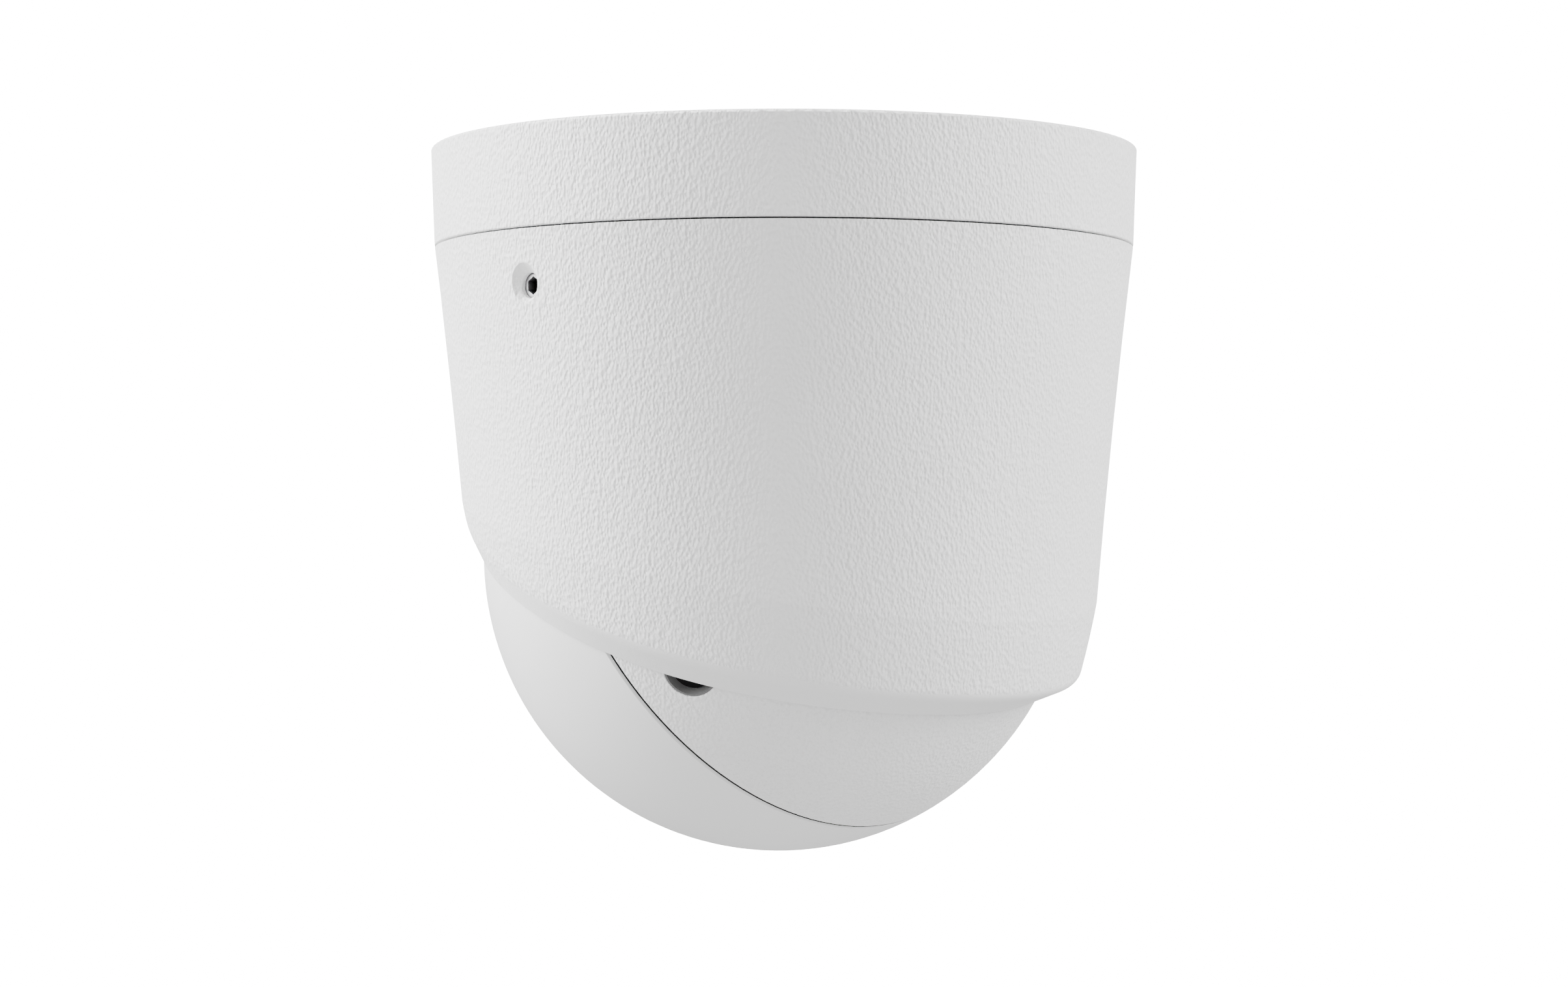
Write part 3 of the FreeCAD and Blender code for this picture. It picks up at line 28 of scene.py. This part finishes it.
# ---------------------------------------------------------------- node helpers
class Shader:
    """A material's node tree, with short calls for the nodes that the materials share."""

    def __init__(self, name):
        self.material = bpy.data.materials.new(name)
        self.material.use_nodes = True
        self.tree = self.material.node_tree
        self.surface = self.tree.nodes["Principled BSDF"]
        coordinates = self.add("ShaderNodeTexCoord")
        self.place = coordinates.outputs["Object"]
        self.facing = coordinates.outputs["Normal"]

    def add(self, kind, **values):
        node = self.tree.nodes.new(kind)
        for key, value in values.items():
            setattr(node, key, value)
        return node

    def join(self, source, target):
        self.tree.links.new(source, target)

    def set(self, **values):
        for key, value in values.items():
            self.surface.inputs[key.replace("_", " ")].default_value = value

    def noise(self, scale, detail=3.0, roughness=0.5, source=None):
        node = self.add("ShaderNodeTexNoise")
        node.inputs["Scale"].default_value = scale
        node.inputs["Detail"].default_value = detail
        node.inputs["Roughness"].default_value = roughness
        self.join(source or self.place, node.inputs["Vector"])
        return node.outputs["Fac"]

    def cells(self, scale, feature="SMOOTH_F1", smoothness=0.6, source=None):
        node = self.add("ShaderNodeTexVoronoi", feature=feature)
        node.inputs["Scale"].default_value = scale
        if feature == "SMOOTH_F1":
            node.inputs["Smoothness"].default_value = smoothness
        self.join(source or self.place, node.inputs["Vector"])
        return node.outputs["Distance"]

    def warped(self, scale, amount):
        """Object coordinates pushed about by noise."""
        node = self.add("ShaderNodeTexNoise")
        node.inputs["Scale"].default_value = scale
        self.join(self.place, node.inputs["Vector"])
        shift = self.add("ShaderNodeVectorMath", operation="MULTIPLY_ADD")
        self.join(node.outputs["Color"], shift.inputs[0])
        shift.inputs[1].default_value = (amount, amount, amount)
        self.join(self.place, shift.inputs[2])
        return shift.outputs["Vector"]

    def stretched(self, factors, source=None):
        """Object coordinates scaled by a factor along each axis."""
        node = self.add("ShaderNodeVectorMath", operation="MULTIPLY")
        self.join(source or self.place, node.inputs[0])
        node.inputs[1].default_value = factors
        return node.outputs["Vector"]

    def colour(self, source):
        self.join(source, self.surface.inputs["Base Color"])

    def roughness(self, source):
        self.join(source, self.surface.inputs["Roughness"])

    def relief(self, source):
        self.join(source, self.surface.inputs["Normal"])

    def remap(self, source, low, high, new_low, new_high):
        node = self.add("ShaderNodeMapRange")
        self.join(source, node.inputs["Value"])
        for name, value in (("From Min", low), ("From Max", high), ("To Min", new_low), ("To Max", new_high)):
            node.inputs[name].default_value = value
        return node.outputs["Result"]

    def mix_colours(self, source, first, second):
        node = self.add("ShaderNodeMix", data_type="RGBA")
        self.join(source, node.inputs["Factor"])
        node.inputs["A"].default_value = (*first, 1.0)
        node.inputs["B"].default_value = (*second, 1.0)
        return node.outputs["Result"]

    def upward(self):
        """The surface's own upward lean: 1 facing up, 0 upright, -1 facing down."""
        node = self.add("ShaderNodeSeparateXYZ")
        self.join(self.facing, node.inputs["Vector"])
        return node.outputs["Z"]

    def shelter(self, distance):
        """1 in the open, falling to 0 deep in a hole."""
        node = self.add("ShaderNodeAmbientOcclusion")
        node.samples = 8
        node.inputs["Distance"].default_value = distance
        return node.outputs["AO"]

    def bump(self, source, height, strength=1.0, after=None):
        node = self.add("ShaderNodeBump")
        node.inputs["Distance"].default_value = height
        node.inputs["Strength"].default_value = strength
        self.join(source, node.inputs["Height"])
        if after:
            self.join(after, node.inputs["Normal"])
        return node.outputs["Normal"]


def grained(name, lip=None):
    """White paint over a fine pebbled grain, its pebbles about twice as long as they are wide.

    With a lip, the grain runs out where the surface leans down by that much.
    """
    shader = Shader(name)
    shader.set(Specular_IOR_Level=0.4)
    grain = shader.stretched((1.0, 1.0, 0.6), shader.warped(900.0, 0.0004))
    pebbles = shader.cells(2050.0, source=grain)
    wrinkles = shader.noise(3200.0, 2.0, 0.55, source=grain)
    tone = shader.remap(shader.noise(60.0), 0.3, 0.7, 0.0, 1.0)
    shader.colour(shader.mix_colours(tone, (0.80, 0.80, 0.797), (0.825, 0.825, 0.822)))
    shader.roughness(shader.remap(pebbles, 0.0, 0.8, 0.46, 0.6))
    fine = shader.bump(wrinkles, 0.00006, 0.6)
    coarse = shader.bump(pebbles, 0.0003, GRAIN_STRENGTH, after=fine)
    if lip is not None:
        shader.join(shader.remap(shader.upward(), lip, lip + LIP_BLEND, LIP_GRAIN, GRAIN_STRENGTH),
                    coarse.node.inputs["Strength"])
    shader.relief(coarse)
    return shader.material


def grained_white():
    """The base ring's and the ball's grain."""
    return grained("grained_white")


def cover_white():
    """The cover's grain, with the smooth lip round its mouth."""
    return grained("cover_white", lip=LIP_LEAN)


def smooth_white():
    """Smooth satin white paint with a faint unevenness."""
    shader = Shader("smooth_white")
    shader.set(Specular_IOR_Level=0.45, Coat_Weight=0.15, Coat_Roughness=0.3)
    tone = shader.remap(shader.noise(45.0, 2.0), 0.3, 0.7, 0.0, 1.0)
    shader.colour(shader.mix_colours(tone, (0.82, 0.82, 0.817), (0.84, 0.84, 0.837)))
    shader.roughness(shader.remap(shader.noise(380.0), 0.3, 0.7, 0.34, 0.42))
    shader.relief(shader.bump(shader.noise(500.0, 1.0), 0.00002, 0.2))
    return shader.material


def dark_glass():
    """Smoked pane that shows the lamps and the lens faintly behind it."""
    shader = Shader("dark_glass")
    shader.set(Transmission_Weight=1.0, IOR=1.5, Specular_IOR_Level=0.5)
    haze = shader.remap(shader.noise(90.0, 4.0), 0.35, 0.75, 0.0, 1.0)
    shader.colour(shader.mix_colours(haze, (0.34, 0.34, 0.36), (0.29, 0.29, 0.31)))
    shader.roughness(shader.remap(shader.noise(120.0), 0.3, 0.8, 0.0, 0.012))
    return shader.material


def black_rubber():
    """Matt moulded rubber with a dusty bloom."""
    shader = Shader("black_rubber")
    shader.set(Specular_IOR_Level=0.04)
    bloom = shader.remap(shader.noise(160.0, 5.0), 0.4, 0.75, 0.0, 1.0)
    shader.colour(shader.mix_colours(bloom, (0.006, 0.006, 0.0065), (0.014, 0.014, 0.0135)))
    shader.roughness(shader.remap(shader.noise(700.0), 0.3, 0.7, 0.82, 0.95))
    shader.relief(shader.bump(shader.noise(1800.0, 3.0), 0.00004, 0.5))
    return shader.material


def plated(name, dark, light, patch_scale, low, high):
    """Plated metal whose crystals differ a little in tone, with a fine scatter of marks."""
    shader = Shader(name)
    shader.set(Metallic=1.0)
    patches = shader.cells(patch_scale, feature="F1")
    marks = shader.noise(1500.0, 5.0, 0.6)
    shader.colour(shader.mix_colours(shader.remap(patches, 0.0, 0.7, 0.0, 1.0), dark, light))
    shader.roughness(shader.remap(marks, 0.3, 0.75, low, high))
    shader.relief(shader.bump(marks, 0.00001, 0.4))
    return shader.material


def zinc_steel():
    return plated("zinc_steel", (0.52, 0.53, 0.54), (0.66, 0.67, 0.66), 420.0, 0.28, 0.48)


def dark_screw():
    """Burnished hexagon socket screw, its socket darkened to black by painted shade."""
    shader = Shader("dark_screw")
    shader.set(Metallic=0.85)
    turned = shader.noise(1500.0, 5.0, 0.6)
    # painted shade: the base colour runs to near black where ambient occlusion finds the socket deep
    shader.colour(shader.mix_colours(shader.remap(shader.shelter(0.0022), 0.42, 0.8, 0.0, 1.0),
                                     (0.006, 0.006, 0.006), (0.50, 0.50, 0.51)))
    shader.roughness(shader.remap(turned, 0.3, 0.75, 0.34, 0.55))
    shader.relief(shader.bump(turned, 0.00001, 0.4))
    return shader.material


def brass():
    return plated("brass", (0.72, 0.50, 0.22), (0.84, 0.62, 0.30), 650.0, 0.20, 0.40)


def grey_plastic():
    """Dark grey moulding with a fine matt texture."""
    shader = Shader("grey_plastic")
    shader.set(Specular_IOR_Level=0.35)
    spots = shader.cells(3000.0)
    shader.colour(shader.mix_colours(shader.noise(240.0), (0.10, 0.10, 0.10), (0.14, 0.14, 0.14)))
    shader.roughness(shader.remap(spots, 0.0, 0.7, 0.5, 0.65))
    shader.relief(shader.bump(spots, 0.00002, 0.5))
    return shader.material


def black_metal():
    """Black anodised aluminium."""
    return plated("black_metal", (0.022, 0.022, 0.024), (0.05, 0.05, 0.053), 1100.0, 0.30, 0.48)


def bare_aluminium():
    """Extruded aluminium with drawing lines along its fins."""
    shader = Shader("bare_aluminium")
    shader.set(Metallic=1.0)
    lines = shader.noise(900.0, 4.0, 0.6, source=shader.stretched((4.0, 0.08, 0.3)))
    shader.colour(shader.mix_colours(lines, (0.70, 0.71, 0.72), (0.86, 0.87, 0.88)))
    shader.roughness(shader.remap(lines, 0.3, 0.7, 0.25, 0.45))
    shader.relief(shader.bump(lines, 0.00001, 0.5))
    return shader.material


def white_acetal():
    """Waxy white engineering plastic."""
    shader = Shader("white_acetal")
    shader.set(Subsurface_Weight=0.15, Subsurface_Scale=0.001, Specular_IOR_Level=0.45)
    shader.colour(shader.mix_colours(shader.noise(120.0), (0.76, 0.76, 0.73), (0.82, 0.82, 0.80)))
    shader.roughness(shader.remap(shader.noise(600.0), 0.3, 0.7, 0.28, 0.4))
    shader.relief(shader.bump(shader.noise(1400.0), 0.00001, 0.4))
    return shader.material


def black_plastic():
    """Spark-eroded black moulding."""
    shader = Shader("black_plastic")
    shader.set(Specular_IOR_Level=0.4)
    spots = shader.cells(3200.0)
    shader.colour(shader.mix_colours(shader.noise(110.0), (0.02, 0.02, 0.021), (0.032, 0.032, 0.034)))
    shader.roughness(shader.remap(spots, 0.0, 0.7, 0.42, 0.58))
    shader.relief(shader.bump(spots, 0.00003, 0.5))
    return shader.material


def board_green():
    """Circuit board: tracks seen as lighter, raised lines under a glossy green mask."""
    shader = Shader("board_green")
    shader.set(Specular_IOR_Level=0.5, Coat_Weight=0.5, Coat_Roughness=0.12)
    tracks = shader.remap(shader.cells(330.0, feature="DISTANCE_TO_EDGE"), 0.05, 0.09, 1.0, 0.0)
    shader.colour(shader.mix_colours(tracks, (0.008, 0.075, 0.032), (0.018, 0.17, 0.07)))
    shader.roughness(shader.remap(shader.noise(800.0), 0.3, 0.7, 0.3, 0.45))
    shader.relief(shader.bump(tracks, 0.00003, 0.5))
    return shader.material


def lamp_resin():
    """Slightly blue cast resin of the infra-red lamps."""
    shader = Shader("lamp_resin")
    shader.set(Transmission_Weight=0.45, IOR=1.52, Coat_Weight=0.6, Coat_Roughness=0.05)
    shader.colour(shader.mix_colours(shader.noise(300.0), (0.62, 0.66, 0.78), (0.74, 0.77, 0.86)))
    shader.roughness(shader.remap(shader.noise(900.0), 0.3, 0.7, 0.04, 0.12))
    return shader.material


def lens_glass():
    """Coated optical glass."""
    shader = Shader("lens_glass")
    shader.set(Transmission_Weight=0.92, IOR=1.62, Coat_Weight=1.0, Coat_Roughness=0.0)
    shader.surface.inputs["Coat Tint"].default_value = (0.62, 0.55, 1.0, 1.0)
    shader.colour(shader.mix_colours(shader.noise(200.0), (0.55, 0.5, 0.72), (0.45, 0.62, 0.7)))
    shader.roughness(shader.remap(shader.noise(400.0), 0.3, 0.8, 0.0, 0.02))
    return shader.material


def chip_black():
    """Moulded chip package with fine filler grains."""
    shader = Shader("chip_black")
    shader.set(Specular_IOR_Level=0.35)
    filler = shader.noise(5200.0, 2.0, 0.7)
    specks = shader.remap(filler, 0.6, 0.75, 0.0, 1.0)
    shader.colour(shader.mix_colours(specks, (0.022, 0.022, 0.023), (0.08, 0.08, 0.08)))
    shader.roughness(shader.remap(filler, 0.3, 0.7, 0.5, 0.65))
    shader.relief(shader.bump(filler, 0.00002, 0.5))
    return shader.material


def pad_grey():
    """Soft heat-conducting pad, grey with ceramic filler."""
    shader = Shader("pad_grey")
    shader.set(Specular_IOR_Level=0.25)
    filler = shader.noise(2600.0, 4.0, 0.65)
    shader.colour(shader.mix_colours(filler, (0.25, 0.28, 0.33), (0.42, 0.45, 0.5)))
    shader.roughness(shader.remap(filler, 0.3, 0.7, 0.7, 0.9))
    shader.relief(shader.bump(filler, 0.00004, 0.6))
    return shader.material


MATERIALS = {make.__name__: make() for make in (
    grained_white, cover_white, smooth_white, dark_glass, black_rubber, zinc_steel, dark_screw,
    white_acetal, brass,
    black_plastic, grey_plastic, black_metal, board_green, lamp_resin, lens_glass, chip_black, pad_grey,
    bare_aluminium)}
for node in nodes.values():
    for index, old in enumerate(node.data.materials):
        node.data.materials[index] = MATERIALS[old.name.split(".")[0]]
for index in range(len(nodes["housing_cover"].data.materials)):
    nodes["housing_cover"].data.materials[index] = MATERIALS["cover_white"]


# ---------------------------------------------------------------- studio and view
TO_CAMERA = Vector((1, 1, 0)).normalized()
TO_LEFT = Vector((1, -1, 0)).normalized()
UPWARD = Vector((0, 0, 1))
OBJECT_CENTRE = Vector((0, 0, -0.058))
CAMERA_DISTANCE = 0.56505
CAMERA_DROP = 0.00659        # below the object's centre
CAMERA_PITCH = math.radians(0.832)
FIELD_LENS = 78.53
FLOOR_DEPTH = 0.75           # below the ceiling face
ROOM_RADIUS = 3.0
ROOM_STEP = 0.01             # gap under the room's wall, and the radius of its closed top
WORLD_STRENGTH = 0.88
BACKDROP_STEPS = 96


def camera():
    data = bpy.data.cameras.new("view")
    data.sensor_width = 36.0
    data.lens = FIELD_LENS
    eye = bpy.data.objects.new("view", data)
    bpy.context.scene.collection.objects.link(eye)
    eye.location = TO_CAMERA * CAMERA_DISTANCE + UPWARD * (OBJECT_CENTRE.z - CAMERA_DROP)
    look = UPWARD * math.sin(CAMERA_PITCH) - TO_CAMERA * math.cos(CAMERA_PITCH)
    eye.rotation_mode = "QUATERNION"
    eye.rotation_quaternion = look.to_track_quat("-Z", "Y")
    bpy.context.scene.camera = eye


def softbox(name, side, towards, height, size, power):
    """A large soft light, placed to the left of the view, towards the camera and above the object."""
    data = bpy.data.lights.new(name, "AREA")
    data.shape = "RECTANGLE"
    data.size, data.size_y = size
    data.energy = power
    lamp = bpy.data.objects.new(name, data)
    bpy.context.scene.collection.objects.link(lamp)
    lamp.location = OBJECT_CENTRE + TO_LEFT * side + TO_CAMERA * towards + UPWARD * height
    lamp.rotation_mode = "QUATERNION"
    lamp.rotation_quaternion = (OBJECT_CENTRE - lamp.location).to_track_quat("-Z", "Y")


def backdrop(name, strength, profile):
    """A turned white surface round the scene, seen by the camera but casting no light on the object."""
    mesh = bpy.data.meshes.new(name)
    form = bmesh.new()
    steps = BACKDROP_STEPS
    rings = []
    for radius, z in profile:
        rings.append([form.verts.new((radius * math.cos(2 * math.pi * k / steps),
                                      radius * math.sin(2 * math.pi * k / steps), z)) for k in range(steps)])
    for low, high in zip(rings, rings[1:]):
        for k in range(steps):
            form.faces.new((low[k], low[(k + 1) % steps], high[(k + 1) % steps], high[k]))
    form.faces.new(rings[0])
    form.to_mesh(mesh)
    form.free()
    piece = bpy.data.objects.new(name, mesh)
    bpy.context.scene.collection.objects.link(piece)
    material = bpy.data.materials.new(name)
    material.use_nodes = True
    surface = material.node_tree.nodes["Principled BSDF"]
    surface.inputs["Base Color"].default_value = (0.9, 0.9, 0.9, 1.0)
    surface.inputs["Emission Color"].default_value = (1.0, 1.0, 1.0, 1.0)
    surface.inputs["Emission Strength"].default_value = strength
    mesh.materials.append(material)
    piece.visible_diffuse = False
    piece.visible_glossy = False
    piece.visible_transmission = False
    piece.visible_shadow = False


def studio():
    world = bpy.data.worlds.new("studio")
    bpy.context.scene.world = world
    world.use_nodes = True
    world.node_tree.nodes["Background"].inputs["Color"].default_value = (1, 1, 1, 1)
    world.node_tree.nodes["Background"].inputs["Strength"].default_value = WORLD_STRENGTH
    softbox("key_left", side=0.85, towards=-0.05, height=0.50, size=(0.7, 0.8), power=50.0)
    softbox("key_right", side=-0.85, towards=0.05, height=0.50, size=(0.8, 0.8), power=27.0)
    softbox("low_fill", side=0.0, towards=0.55, height=-0.65, size=(1.2, 1.2), power=5.0)
    backdrop("floor", 14.0, [(0.3 * ROOM_RADIUS, -FLOOR_DEPTH), (ROOM_RADIUS, -FLOOR_DEPTH)])
    backdrop("room", 18.0, [(ROOM_RADIUS, -FLOOR_DEPTH - ROOM_STEP), (ROOM_RADIUS, ROOM_RADIUS),
                            (0.5 * ROOM_RADIUS, 1.5 * ROOM_RADIUS), (ROOM_STEP, 1.6 * ROOM_RADIUS)])


camera()
studio()
